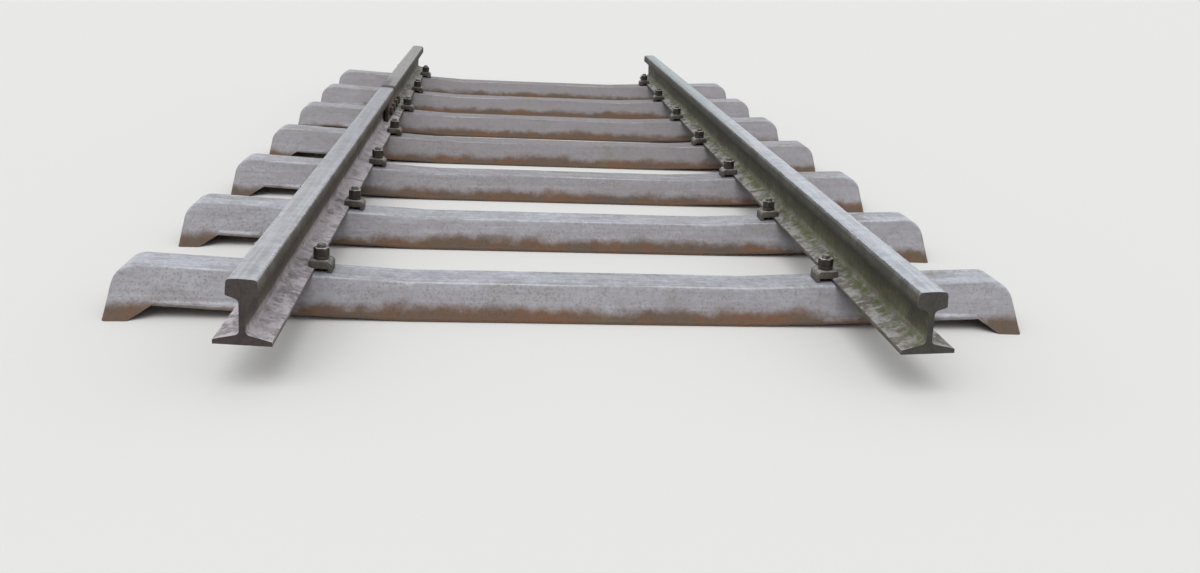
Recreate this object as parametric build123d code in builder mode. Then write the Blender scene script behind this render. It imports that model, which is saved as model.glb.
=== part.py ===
from build123d import *
from math import atan, cos, sin, sqrt
import os

os.makedirs("parts", exist_ok=True)

# Millimetres. X runs across the track, Y along it away from its cut end, Z up from the ground.
# A length of standard-gauge siding: flat-bottom rails on pressed steel trough sleepers.

# The track.
gauge = 1435.0
gauge_depth = 14.0  # below the running surface, where the gauge is measured
bay_count = 6
sleeper_pitch = 650.0
front_overhang = 550.0  # from the first sleeper to the cut end of the rails
rear_overhang = 325.0
seat_slope = 1 / 20  # how much the rails lean inward

# The rail section.
rail_height = 149.0
head_width = 67.0
head_crown = 300.0  # radius across the running surface
head_flare = 1.5  # each side of the head, down to its lower corner
head_side = 38.0
head_corner = 9.0
head_slope = 1 / 3
web_thickness = 14.0
web_fillet = 10.0
foot_width = 125.0
foot_edge = 10.5
foot_slope = 1 / 4
small_corner = 2.5

# The trough sleeper.
sleeper_length = 2400.0
sleeper_top_width = 112.0
sleeper_base_width = 244.0
sleeper_depth = 88.0
sleeper_top_wall = 10.0
sleeper_side_wall = 8.0
sleeper_edge_radius = 14.0
level_length = 900.0  # the level middle, between the rising ends
bend_radius = 900.0  # where the ends start to rise
end_radius = 55.0
end_lean = 14.0  # how far the bent-down end stands out at its lower edge
skirt_length = 60.0  # over which the flanks come down to the ground towards the ends
toe_width = 20.0
toe_height = 11.0
toe_corner = 3.0

# The hook bolts and what they hold down.
bolt_diameter = 24.0
bolt_clearance = 1.0
bolt_gap = 1.5  # between the shank and the edge of the rail foot
bolt_projection = 8.0
bolt_head_length = 46.0
bolt_head_height = 15.0
bolt_end_chamfer = 2.0
nut_across_flats = 36.0
nut_height = 24.0
nut_chamfer = 2.5
nut_countersink = 1.5
nut_turn = 37.0  # degrees from each nut to the next, as they came to rest
thread_gap = 0.2
washer_diameter = 40.0
washer_height = 8.0
washer_slit = 3.0
clamp_grip = 15.0  # how far the clamp plate reaches over the rail foot
clamp_tail = 32.0  # how far it reaches behind the bolt
clamp_width = 62.0
clamp_thickness = 16.0
clamp_heel = 10.0
clamp_drop = 9.0
clamp_corner = 5.0
clamp_nose = 4.0  # radius of its upper edge over the rail foot
slot_play = 2.0  # around the bolt's head in the sleeper's slot
slot_corner = 4.0

# The joint in the left rail.
joint_bay_count = 3  # whole bays between the first sleeper and the last before the joint
joint_distance = 405.0  # from that last sleeper to the middle of the gap
joint_gap = 10.0
fishplate_length = 460.0
fishplate_web_gap = 8.0
fishplate_thickness = 16.0
joint_bolt_places = (-170.0, -60.0, 60.0, 170.0)
joint_bolt_diameter = 24.0
joint_hole_clearance = 2.0
joint_head_height = 15.0

# Worked out from the sizes above.
lean = atan(seat_slope)
rail_length = front_overhang + bay_count * sleeper_pitch + rear_overhang
front_end = -rail_length / 2
rear_end = rail_length / 2
sleeper_places = [front_end + front_overhang + bay * sleeper_pitch for bay in range(bay_count + 1)]
joint_y = sleeper_places[joint_bay_count] + joint_distance
rail_x = gauge / 2 + cos(lean) * head_width / 2 + sin(lean) * (rail_height - gauge_depth)
seat_z = sleeper_depth + (rail_x - level_length / 2) * seat_slope
web_half = web_thickness / 2
foot_half = foot_width / 2
crown_edge = rail_height - head_crown + sqrt(head_crown**2 - (head_width / 2) ** 2)
bolt_offset = foot_half + bolt_gap + bolt_diameter / 2
clamp_top = foot_edge + clamp_grip * foot_slope + clamp_thickness
nut_bottom = clamp_top + washer_height
nut_top = nut_bottom + nut_height
bolt_end = nut_top + bolt_projection
flank_run = (sleeper_base_width - sleeper_top_width) / 2 / sleeper_depth
flank_inset = sleeper_side_wall / cos(atan(flank_run))
end_x = sleeper_length / 2
brow_x = end_x - end_lean
brow_z = sleeper_depth + (brow_x - level_length / 2) * seat_slope
skirt_x = brow_x - 2 * end_radius
blank_depth = 2 * brow_z  # well below the ground, where the ends are cut off


def foot_top(x):
    # The upper face of the rail foot, at a distance from the middle of the rail.
    return foot_edge + (foot_half - x) * foot_slope


def head_underside(x):
    # The lower face of the rail head.
    return rail_height - head_side - (head_width / 2 + head_flare - x) * head_slope


def seat_plane(side, y):
    # Where a rail stands: x runs outward up the seat on the right, inward down it on the left.
    return Plane(
        origin=(side * rail_x, y, seat_z),
        x_dir=(cos(lean), 0, side * sin(lean)),
        z_dir=(-side * sin(lean), 0, cos(lean)),
    )


def section_plane(side, y):
    # The rail's cross section: x as on the seat, y square to the seat.
    seat = seat_plane(side, y)
    return Plane(origin=seat.origin, x_dir=seat.x_dir, z_dir=seat.x_dir.cross(seat.z_dir))


def bolt_planes(y):
    # The four hook bolts of one sleeper, each with its x pointing away from the rail.
    planes = []
    for side in (-1, 1):
        seat = seat_plane(side, y)
        for hand in (-1, 1):
            away = seat.x_dir * hand
            planes.append(Plane(origin=seat.origin + away * bolt_offset, x_dir=away, z_dir=seat.z_dir))
    return planes


# One trough sleeper at Y 0: a level middle, rising ends with the rail seats, and ends bent down.
def half_trough_width(depth):
    # Outside, at a depth below the top.
    return sleeper_top_width / 2 + depth * flank_run


def rising_line(reach):
    # The top of the sleeper as a path, to a distance each way from the middle.
    rise = sleeper_depth + (reach - level_length / 2) * seat_slope
    FilletPolyline(
        (-reach, rise),
        (-level_length / 2, sleeper_depth),
        (level_length / 2, sleeper_depth),
        (reach, rise),
        radius=bend_radius,
    )


def start_plane(ridge):
    # Square to the start of a path, with Y up.
    return Plane(origin=ridge @ 0, x_dir=(0, 1, 0), z_dir=ridge % 0)


def trough_mass(wall, side_inset, edge_radius):
    # All that the top, the ends and the flanks enclose, within walls of the given thickness.
    with BuildPart() as mass:
        with BuildLine(Plane.XZ) as ridge:
            rising_line(sleeper_length)
        with BuildSketch(start_plane(ridge.line)):
            low_half = half_trough_width(blank_depth) - side_inset
            high_half = half_trough_width(-wall) - side_inset
            with BuildLine():
                Polyline(
                    (-low_half, -blank_depth),
                    (-high_half, wall),
                    (high_half, wall),
                    (low_half, -blank_depth),
                    close=True,
                )
            make_face()
        sweep()
        with BuildSketch(Plane.XZ):
            with BuildLine() as profile:
                right = [(level_length / 2, sleeper_depth), (brow_x, brow_z), (end_x + end_lean, -brow_z)]
                left = [(-x, z) for x, z in reversed(right)]
                FilletPolyline(*left, *right, radius=[end_radius, bend_radius, bend_radius, end_radius])
                Line(profile.line @ 0, profile.line @ 1)
            make_face()
            if wall:
                offset(amount=-wall)
        extrude(amount=sleeper_length, both=True, mode=Mode.INTERSECT)
        skins = [face for face in mass.faces() if abs(face.normal_at().Y) < 0.01 and face.center().Z > 0]
        rims = [edge for skin in skins for edge in skin.edges().filter_by(Axis.Y, reverse=True)]
        fillet(rims, radius=edge_radius)
    return mass.part


# What the flanks leave open below them. They end half way up the toes, and near the sleeper's
# ends they come down to the ground.
with BuildPart() as undercut:
    with BuildLine(Plane.XZ) as ridge:
        rising_line(sleeper_length)
    with BuildSketch(start_plane(ridge.line)):
        with Locations((0, toe_height / 2 - sleeper_depth)):
            Rectangle(sleeper_length, sleeper_depth, align=(Align.CENTER, Align.MAX))
    sweep()
    with BuildSketch(Plane.XZ):
        with BuildLine():
            Polyline(
                (skirt_x, brow_z - sleeper_depth),
                (skirt_x + skirt_length, 0),
                (2 * sleeper_length, 0),
                (2 * sleeper_length, sleeper_length),
                (skirt_x, sleeper_length),
                close=True,
            )
        make_face()
        mirror(about=Plane.YZ)
    extrude(amount=sleeper_length, both=True, mode=Mode.SUBTRACT)

with BuildPart() as trough_sleeper:
    add(trough_mass(0, 0, sleeper_edge_radius))
    inner_radius = sleeper_edge_radius - sleeper_top_wall
    add(trough_mass(sleeper_top_wall, flank_inset, inner_radius), mode=Mode.SUBTRACT)
    split(bisect_by=Plane.XY)
    add(undercut.part, mode=Mode.SUBTRACT)
    with BuildLine(Plane.XZ) as ridge:
        rising_line(skirt_x)
    with BuildSketch(start_plane(ridge.line)):
        toe_x = half_trough_width(sleeper_depth) - toe_width / 2
        toe_y = toe_height / 2 - sleeper_depth
        with Locations((-toe_x, toe_y), (toe_x, toe_y)):
            RectangleRounded(toe_width, toe_height, toe_corner)
    sweep()
    for plane in bolt_planes(0):
        with BuildSketch(plane):
            RectangleRounded(
                bolt_head_length + 2 * slot_play,
                bolt_diameter + 2 * slot_play,
                slot_corner,
            )
        extrude(amount=2 * sleeper_top_wall, both=True, mode=Mode.SUBTRACT)

for number, place in enumerate(sleeper_places, start=1):
    with BuildPart() as sleeper:
        with Locations((0, place, 0)):
            add(trough_sleeper.part)
    sleeper.part.label = f"sleeper_{number}"
    export_step(sleeper.part, f"parts/{sleeper.part.label}.step")


# The rails. The left one is in two lengths, drilled for the joint between them.
def rail_outline():
    half = [
        (foot_half, 0),
        (foot_half, foot_edge),
        (web_half, foot_top(web_half)),
        (web_half, head_underside(web_half)),
        (head_width / 2 + head_flare, rail_height - head_side),
        (head_width / 2, crown_edge),
    ]
    sides = Polyline(*[(-x, y) for x, y in reversed(half)], *half)
    ThreePointArc(sides @ 1, (0, rail_height), sides @ 0)


def rail_levels(sketch):
    # The corners of the outline, level by level from the foot up.
    return sketch.vertices().group_by(Axis.Y)


def make_rail(name, side, start, end):
    with BuildPart() as rail:
        with BuildSketch(section_plane(side, end)) as profile:
            with BuildLine():
                rail_outline()
            make_face()
            fillet(rail_levels(profile)[-1], radius=head_corner)
            fillet(rail_levels(profile)[4], radius=small_corner)
            fillet(rail_levels(profile)[2] + rail_levels(profile)[3], radius=web_fillet)
            fillet(rail_levels(profile)[1], radius=small_corner)
        extrude(amount=end - start)
        for place in joint_bolt_places:
            if side < 0 and start < joint_y + place < end:
                with BuildSketch(joint_bolt_plane(joint_y + place)):
                    Circle(joint_bolt_diameter / 2 + joint_hole_clearance)
                extrude(amount=web_thickness, both=True, mode=Mode.SUBTRACT)
    rail.part.label = name
    export_step(rail.part, f"parts/{name}.step")


def joint_bolt_plane(y):
    # Half way up the left rail's web, looking outward through it.
    seat = seat_plane(-1, y)
    middle = (foot_top(web_half) + head_underside(web_half)) / 2
    return Plane(origin=seat.origin + seat.z_dir * middle, x_dir=(0, 1, 0), z_dir=seat.x_dir * -1)


make_rail("right_rail", 1, front_end, rear_end)
make_rail("left_rail_front", -1, front_end, joint_y - joint_gap / 2)
make_rail("left_rail_rear", -1, joint_y + joint_gap / 2, rear_end)

# One hook bolt with its clamp plate, spring washer and nut, all seated at Z 0 with the rail at -X.
grip_x = -bolt_diameter / 2 - bolt_gap
with BuildPart() as clamp_plate:
    with BuildSketch(Plane.XZ):
        with BuildLine():
            Polyline(
                (grip_x - clamp_grip, clamp_top),
                (grip_x - clamp_grip, foot_edge + clamp_grip * foot_slope),
                (grip_x, foot_edge),
                (clamp_tail - clamp_heel, foot_edge),
                (clamp_tail - clamp_heel, 0),
                (clamp_tail, 0),
                (clamp_tail, clamp_top - clamp_drop),
                (washer_diameter / 2 + bolt_clearance, clamp_top),
                close=True,
            )
        make_face()
    extrude(amount=clamp_width / 2, both=True)
    fillet(clamp_plate.edges().filter_by(Axis.Z).group_by(Axis.X)[-1], radius=clamp_corner)
    fillet(clamp_plate.edges().filter_by(Axis.Y).group_by(Axis.X)[0].sort_by(Axis.Z)[-1], radius=clamp_nose)
    with BuildSketch():
        Circle(bolt_diameter / 2 + bolt_clearance)
    extrude(amount=clamp_top, mode=Mode.SUBTRACT)

with BuildPart() as hook_bolt:
    with BuildSketch(Plane.XY.offset(-sleeper_top_wall)):
        RectangleRounded(bolt_diameter, bolt_head_length, slot_corner)
    extrude(amount=-bolt_head_height)
    with BuildSketch(Plane.XY.offset(-sleeper_top_wall)):
        Circle(bolt_diameter / 2)
    extrude(amount=sleeper_top_wall + bolt_end)
    chamfer(hook_bolt.faces().sort_by(Axis.Z)[-1].edges(), length=bolt_end_chamfer)

with BuildPart() as spring_washer:
    with BuildSketch(Plane.XY.offset(clamp_top)):
        Circle(washer_diameter / 2)
        Circle(bolt_diameter / 2 + bolt_clearance, mode=Mode.SUBTRACT)
        with Locations((0, -washer_diameter / 2)):
            Rectangle(washer_slit, washer_diameter, mode=Mode.SUBTRACT)
    extrude(amount=washer_height)


def make_hexagon(seat, tip):
    # A hexagon on the Z axis between two heights, with its corners turned off at the tip.
    turned = nut_chamfer if tip > seat else -nut_chamfer
    with BuildPart() as block:
        with BuildSketch(Plane.XY.offset(seat)):
            RegularPolygon(radius=nut_across_flats / 2, side_count=6, major_radius=False)
        extrude(amount=tip - seat)
        with BuildSketch(Plane.XZ):
            with BuildLine():
                Polyline(
                    (0, seat),
                    (nut_across_flats, seat),
                    (nut_across_flats / 2 + nut_chamfer, tip - turned),
                    (nut_across_flats / 2 - nut_chamfer, tip),
                    (0, tip),
                    close=True,
                )
            make_face()
        revolve(axis=Axis.Z, mode=Mode.INTERSECT)
    return block.part


def make_nut(seat, thread):
    with BuildPart() as nut:
        add(make_hexagon(seat, seat + nut_height))
        with Locations((0, 0, seat + nut_height)):
            CounterSinkHole(
                radius=thread / 2 + thread_gap,
                counter_sink_radius=thread / 2 + nut_countersink,
                counter_sink_angle=90,
            )
    return nut.part


fastenings = {
    "clamp_plates": clamp_plate.part,
    "hook_bolts": hook_bolt.part,
    "spring_washers": spring_washer.part,
    "nuts": make_nut(nut_bottom, bolt_diameter),
}
for number, place in enumerate(sleeper_places, start=1):
    straight = [plane.location for plane in bolt_planes(place)]
    turned = [
        location * Rotation(0, 0, nut_turn * (number * len(straight) + index))
        for index, location in enumerate(straight)
    ]
    for name, piece in fastenings.items():
        with BuildPart() as fastening:
            with Locations(*(turned if name in ("nuts", "spring_washers") else straight)):
                add(piece)
        fastening.part.label = f"{name}_{number}"
        export_step(fastening.part, f"parts/{fastening.part.label}.step")

# The fishplates bear on the rail foot and under the head, clear of the web.
plate_near = web_half + fishplate_web_gap
plate_far = plate_near + fishplate_thickness


def make_fishplate(name, hand):
    with BuildPart() as fishplate:
        with BuildSketch(section_plane(-1, joint_y + fishplate_length / 2)) as profile:
            with BuildLine():
                Polyline(
                    (hand * plate_near, foot_top(plate_near)),
                    (hand * plate_far, foot_top(plate_far)),
                    (hand * plate_far, head_underside(plate_far)),
                    (hand * plate_near, head_underside(plate_near)),
                    close=True,
                )
            make_face()
            fillet(profile.vertices(), radius=small_corner)
        extrude(amount=fishplate_length)
        for place in joint_bolt_places:
            with BuildSketch(joint_bolt_plane(joint_y + place)):
                Circle(joint_bolt_diameter / 2 + bolt_clearance)
            extrude(amount=2 * plate_far, both=True, mode=Mode.SUBTRACT)
    fishplate.part.label = name
    export_step(fishplate.part, f"parts/{name}.step")


make_fishplate("outer_fishplate", -1)
make_fishplate("inner_fishplate", 1)

with BuildPart() as joint_bolt:
    add(make_hexagon(-plate_far, -plate_far - joint_head_height))
    with BuildSketch(Plane.XY.offset(-plate_far)):
        Circle(joint_bolt_diameter / 2)
    extrude(amount=2 * plate_far + nut_height + bolt_projection)
    chamfer(joint_bolt.faces().sort_by(Axis.Z)[-1].edges(), length=bolt_end_chamfer)

joint_fastenings = {
    "fishplate_bolts": joint_bolt.part,
    "fishplate_nuts": make_nut(plate_far, joint_bolt_diameter),
}
for name, piece in joint_fastenings.items():
    with BuildPart() as fastening:
        with Locations(*[joint_bolt_plane(joint_y + place).location for place in joint_bolt_places]):
            add(piece)
    fastening.part.label = name
    export_step(fastening.part, f"parts/{name}.step")
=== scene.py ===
import math
from types import SimpleNamespace

import bmesh
import bpy
from mathutils import Matrix, Vector, noise


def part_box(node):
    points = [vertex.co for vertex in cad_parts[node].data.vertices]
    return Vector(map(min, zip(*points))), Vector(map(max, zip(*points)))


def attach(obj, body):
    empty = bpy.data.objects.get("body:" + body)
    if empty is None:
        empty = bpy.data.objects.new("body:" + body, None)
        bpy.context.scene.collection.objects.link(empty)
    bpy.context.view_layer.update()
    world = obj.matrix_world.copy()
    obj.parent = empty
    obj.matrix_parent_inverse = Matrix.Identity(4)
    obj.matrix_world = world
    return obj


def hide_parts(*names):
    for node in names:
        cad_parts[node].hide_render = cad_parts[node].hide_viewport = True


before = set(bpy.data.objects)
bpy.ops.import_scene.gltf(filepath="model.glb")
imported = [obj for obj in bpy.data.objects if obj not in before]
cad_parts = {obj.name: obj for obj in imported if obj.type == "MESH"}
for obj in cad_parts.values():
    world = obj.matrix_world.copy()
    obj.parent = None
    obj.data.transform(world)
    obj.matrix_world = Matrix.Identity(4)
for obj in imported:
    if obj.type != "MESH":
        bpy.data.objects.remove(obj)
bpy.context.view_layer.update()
print("frame loaded:", len(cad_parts), "nodes")

# Metres. X runs across the track, Y along it away from the cut end, Z up from the sleepers' edges.
track = {
    "railX": 0.75770,  # middle of the rail foot
    "seatZ": 0.103385,  # underside of the rail foot
    "slope": 1 / 20,  # the rails lean inward
    "firstSleeper": -1.8375,
    "pitch": 0.650,
    "sleepers": 7,
    "boltOffset": 0.0760,  # from the middle of the rail
    "railHeight": 0.149,
    "clampTop": 0.03025,  # above the rail seat
    "boltEnd": 0.07025,  # and so is this
    "nutTurn": 37.0,  # degrees from each nut to the next
    "jointY": 0.5175,  # middle of the gap in the left rail
    "jointBolts": (-0.170, -0.060, 0.060, 0.170),  # from there
    "jointBoltZ": 0.06302,  # above the rail seat
    "plateFar": 0.031,  # outer face of a fishplate, from the middle of the web
    "jointBoltEnd": 0.063,
}
camera = {
    "focal": 1039,  # in pixels of the picture's width
    "pictureWidth": 1200,
    "sensor": 36.0,
    "place": (-0.221, -4.502, 0.961),
    "pitchDown": 18.48,
    "turnRight": 6.00,
    "roll": 2.98,
    "farthest": 500,
}
studio = {
    "floorSize": 160.0,
    "floorColour": (0.80, 0.80, 0.79),
    "floorRoughness": 0.9,
    "floorGloss": 0.1,
    "world": 0.72,
    "key": 1.05,
    "keySpread": 55,
    "keyTurn": (28, -14, 0),
}
lean = math.atan(track["slope"])


# Shader nodes by short names.
def setInputs(tree, node, inputs):
    # Links a socket, and writes a number or colour on the node's own socket.
    for name, value in inputs.items():
        socket = node.inputs[name]
        if isinstance(value, bpy.types.NodeSocket):
            tree.links.new(value, socket)
        elif socket.type == "RGBA":
            socket.default_value = (*value, 1)
        else:
            socket.default_value = value


def addNode(tree, kind, inputs=None, **settings):
    node = tree.nodes.new("ShaderNode" + kind)
    for key, value in settings.items():
        setattr(node, key, value)
    setInputs(tree, node, inputs or {})
    return node


def maths(tree, operation, first, second=0.0):
    return addNode(tree, "Math", {0: first, 1: second}, operation=operation).outputs[0]


def times(tree, product, *others):
    for other in others:
        product = maths(tree, "MULTIPLY", product, other)
    return product


def plus(tree, total, *others):
    for other in others:
        total = maths(tree, "ADD", total, other)
    return total


def dot(tree, first, second):
    node = addNode(tree, "VectorMath", {0: first, 1: second}, operation="DOT_PRODUCT")
    return node.outputs["Value"]


def split(tree, vector):
    return addNode(tree, "SeparateXYZ", {0: vector}).outputs


def surfaceNormal(tree):
    return addNode(tree, "NewGeometry").outputs["Normal"]


def band(tree, value, low, high, first=0.0, last=1.0):
    # Goes smoothly from first to last as value goes from low to high.
    ends = {"From Min": low, "From Max": high, "To Min": first, "To Max": last}
    node = addNode(tree, "MapRange", {"Value": value, **ends}, interpolation_type="SMOOTHSTEP")
    return node.outputs["Result"]


def blend(tree, factor, first, second, way="MIX"):
    node = addNode(tree, "Mix", {0: factor, 6: first, 7: second}, data_type="RGBA", blend_type=way)
    return node.outputs[2]


def shade(tree, colour, tone, share=1.0):
    # Darkens or tints the colour by the tone.
    return blend(tree, share, colour, tone, "MULTIPLY")


def coat(tree, colour, tone, *masks):
    # Lays the tone over the colour where every mask allows it.
    return blend(tree, times(tree, *masks), colour, tone)


def choose(tree, factor, first, second):
    node = addNode(tree, "Mix", {0: factor, 2: first, 3: second}, data_type="FLOAT")
    return node.outputs[0]


def cloud(tree, vector, scale, detail, roughness, distortion=0.0):
    look = {"Scale": scale, "Detail": detail, "Roughness": roughness, "Distortion": distortion}
    return addNode(tree, "TexNoise", {"Vector": vector, **look}).outputs["Fac"]


def aroundZero(tree, cloudiness):
    # A noise's swing to either side of its middle.
    return maths(tree, "SUBTRACT", cloudiness, 0.5)


def streak(tree, vector, scale, detail, roughness, distortion=0.0):
    # A cloud with a scale of its own along each axis.
    drawn = addNode(tree, "Mapping", {"Vector": vector, "Scale": scale}).outputs["Vector"]
    return cloud(tree, drawn, 1.0, detail, roughness, distortion)


# Camera, floor and light.
def makeCamera():
    data = bpy.data.cameras.new("camera")
    data.sensor_width = camera["sensor"]
    data.lens = camera["focal"] / camera["pictureWidth"] * camera["sensor"]
    data.clip_end = camera["farthest"]
    holder = bpy.data.objects.new("camera", data)
    turn = Matrix.Rotation(math.radians(-camera["turnRight"]), 4, "Z")
    tilt = Matrix.Rotation(math.radians(90 - camera["pitchDown"]), 4, "X")
    roll = Matrix.Rotation(math.radians(camera["roll"]), 4, "Z")
    holder.matrix_world = Matrix.Translation(camera["place"]) @ turn @ tilt @ roll
    bpy.context.scene.collection.objects.link(holder)
    bpy.context.scene.camera = holder


def makeStage():
    bm = bmesh.new()
    bmesh.ops.create_grid(bm, x_segments=1, y_segments=1, size=studio["floorSize"] / 2)
    mesh = bpy.data.meshes.new("floor")
    bm.to_mesh(mesh)
    bm.free()
    floor = bpy.data.objects.new("floor", mesh)
    bpy.context.scene.collection.objects.link(floor)
    material = bpy.data.materials.new("floor")
    material.use_nodes = True
    surface = {
        "Base Color": studio["floorColour"],
        "Roughness": studio["floorRoughness"],
        "Specular IOR Level": studio["floorGloss"],
    }
    setInputs(material.node_tree, material.node_tree.nodes["Principled BSDF"], surface)
    mesh.materials.append(material)

    world = bpy.data.worlds.new("studio")
    bpy.context.scene.world = world
    world.use_nodes = True
    tree = world.node_tree
    tree.nodes.clear()
    path = addNode(tree, "LightPath")
    seen = maths(tree, "MAXIMUM", path.outputs["Is Camera Ray"], path.outputs["Is Glossy Ray"])
    seen = maths(tree, "MAXIMUM", seen, path.outputs["Is Transmission Ray"])
    light = addNode(tree, "Background", {"Color": (1, 1, 1), "Strength": studio["world"]})
    backdrop = addNode(tree, "Background", {"Color": (1, 1, 1), "Strength": 1.0})
    mixed = addNode(tree, "MixShader", {0: seen, 1: light.outputs[0], 2: backdrop.outputs[0]})
    addNode(tree, "OutputWorld", {"Surface": mixed.outputs[0]})

    lamp = bpy.data.lights.new("softKey", "SUN")
    lamp.energy = studio["key"]
    lamp.angle = math.radians(studio["keySpread"])
    key = bpy.data.objects.new("softKey", lamp)
    key.rotation_euler = [math.radians(angle) for angle in studio["keyTurn"]]
    bpy.context.scene.collection.objects.link(key)
    bpy.context.scene.view_settings.view_transform = "Standard"


makeCamera()
makeStage()
print("camera, floor and light are in place")


# Effects that several finishes share. A noise has its detail, roughness and distortion here.
def newGroup(name, inputs, outputs):
    # Takes a vector and the named numbers, and puts out numbers.
    group = bpy.data.node_groups.new(name, "ShaderNodeTree")
    group.interface.new_socket("Vector", in_out="INPUT", socket_type="NodeSocketVector")
    for socketName in inputs:
        group.interface.new_socket(socketName, in_out="INPUT", socket_type="NodeSocketFloat")
    for socketName in outputs:
        group.interface.new_socket(socketName, in_out="OUTPUT", socket_type="NodeSocketFloat")
    return group, group.nodes.new("NodeGroupInput").outputs, group.nodes.new("NodeGroupOutput").inputs


def useGroup(tree, name, vector, values):
    group = bpy.data.node_groups[name]
    return addNode(tree, "Group", {"Vector": vector, **values}, node_tree=group).outputs


grainEffect = {
    "grain": (6, 0.65),
    "blotch": (7, 0.62, 0.35),
    "crust": (4, 0.6, 0.4),
    "crustScale": 0.22,  # to one of the grain, and so is its share
    "crustShare": 1.4,
    "grainSpread": (0.28, 0.72),  # of the noise, from none to all
    "blotchSpread": (0.36, 0.66),
    "relief": 0.42,
}


def makeRustGrain():
    # Fine grain, soft blotches and the raised scale of old rust.
    group, given, result = newGroup("rustGrain", ["Grain", "Blotch"], ["Grain", "Blotch", "Height"])
    vector, look = given["Vector"], grainEffect
    grain = cloud(group, vector, given["Grain"], *look["grain"])
    blotch = cloud(group, vector, given["Blotch"], *look["blotch"])
    crustScale = times(group, given["Grain"], look["crustScale"])
    coarse = cloud(group, vector, crustScale, *look["crust"])
    crust = plus(group, times(group, coarse, look["crustShare"]), grain)
    group.links.new(band(group, grain, *look["grainSpread"]), result["Grain"])
    group.links.new(band(group, blotch, *look["blotchSpread"]), result["Blotch"])
    group.links.new(times(group, crust, look["relief"]), result["Height"])


pitEffect = {
    "wobble": {"Detail": 4.0, "Roughness": 0.7},  # what makes the pits ragged
    "wobbleScale": 1.9,  # to one of the pits
    "wobbleReach": 1.5,  # to one from pit to pit
    "patches": (4, 0.6),  # where the pits lie
    "patchScale": 0.16,  # to one of the pits
    "wall": (-0.05, 0.20),  # from a pit's rim to its floor
}


def makePitting():
    # Scattered ragged pits, deeper where the rust has settled.
    group, given, result = newGroup("pitting", ["Scale", "Amount"], ["Mask", "Height"])
    vector, look = given["Vector"], pitEffect
    finer = times(group, given["Scale"], look["wobbleScale"])
    noiseInputs = {"Vector": vector, "Scale": finer, **look["wobble"]}
    wobble = addNode(group, "TexNoise", noiseInputs).outputs["Color"]
    reach = maths(group, "DIVIDE", look["wobbleReach"], given["Scale"])
    bend = addNode(group, "VectorMath", {0: wobble, "Scale": reach}, operation="SCALE").outputs[0]
    bent = addNode(group, "VectorMath", {0: vector, 1: bend}, operation="ADD").outputs[0]
    cells = addNode(group, "TexVoronoi", {"Vector": bent, "Scale": given["Scale"]}, feature="F1")
    patchScale = times(group, given["Scale"], look["patchScale"])
    patches = cloud(group, vector, patchScale, *look["patches"])
    spread = times(group, patches, given["Amount"])
    depth = maths(group, "SUBTRACT", spread, cells.outputs["Distance"])
    mask = band(group, depth, *look["wall"])
    group.links.new(mask, result["Mask"])
    group.links.new(maths(group, "SUBTRACT", 1.0, mask), result["Height"])


wearEffect = {
    "samples": 4,
    "edge": (0.995, 0.80),  # how well the rounded normal agrees with the face's, from flat to edge
    "breakup": (5, 0.7),
    "breakupSpread": (0.38, 0.62),
}


def makeEdgeWear():
    # Finds convex and concave edges from the turned normal, broken up by noise.
    group, given, result = newGroup("edgeWear", ["Width", "Breakup"], ["Mask"])
    rounded = addNode(group, "Bevel", {"Radius": given["Width"]}, samples=wearEffect["samples"])
    agreement = dot(group, rounded.outputs["Normal"], surfaceNormal(group))
    edge = band(group, agreement, *wearEffect["edge"])
    breakup = cloud(group, given["Vector"], given["Breakup"], *wearEffect["breakup"])
    broken = band(group, breakup, *wearEffect["breakupSpread"])
    group.links.new(times(group, edge, broken), result["Mask"])


algaeEffect = {
    "upward": (-0.1, 0.9),  # from where to where a face looks up
    "patches": (8, 0.68, 0.5),
    "upwardShare": 0.18,
    "amountShare": 0.3,
    "spread": (0.66, 0.86),
    "tufts": (900.0, 3, 0.7),  # with its scale
}


def makeAlgae():
    # A green film in patches, thicker on faces that look up.
    group, given, result = newGroup("algae", ["Scale", "Amount", "Upward"], ["Mask", "Height"])
    vector, look = given["Vector"], algaeEffect
    up = band(group, split(group, surfaceNormal(group))["Z"], *look["upward"])
    lift = times(group, up, given["Upward"], look["upwardShare"])
    patches = cloud(group, vector, given["Scale"], *look["patches"])
    level = plus(group, patches, lift, times(group, given["Amount"], look["amountShare"]))
    mask = band(group, level, *look["spread"])
    tufts = cloud(group, vector, *look["tufts"])
    group.links.new(mask, result["Mask"])
    group.links.new(times(group, mask, tufts), result["Height"])


dirtEffect = {"wave": (9.0, 7, 0.65)}  # with its scale


def makeDirtLine():
    # What stood lowest: earth and rust below a wavering line.
    group, given, result = newGroup("dirtLine", ["Level", "Spread", "Waver"], ["Mask"])
    height = split(group, given["Vector"])["Z"]
    wave = aroundZero(group, cloud(group, given["Vector"], *dirtEffect["wave"]))
    wave = times(group, wave, given["Waver"])
    depth = maths(group, "SUBTRACT", given["Level"], plus(group, height, wave))
    share = maths(group, "DIVIDE", depth, given["Spread"])
    group.links.new(band(group, share, -1.0, 1.0), result["Mask"])


for makeEffect in (makeRustGrain, makePitting, makeEdgeWear, makeAlgae, makeDirtLine):
    makeEffect()
print("shared effects built")


# Finishes.
def newMaterial(name):
    material = bpy.data.materials.new(name)
    material.use_nodes = True
    tree = material.node_tree
    shader = tree.nodes["Principled BSDF"]
    place = addNode(tree, "TexCoord").outputs["Object"]
    return material, tree, shader, place


def finishShader(tree, shader, colour, roughness, metallic, height, bump):
    strength, distance = bump
    relief = addNode(tree, "Bump", {"Height": height, "Strength": strength, "Distance": distance})
    surface = {"Base Color": colour, "Roughness": roughness, "Metallic": metallic}
    setInputs(tree, shader, {**surface, "Normal": relief.outputs["Normal"]})


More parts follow.
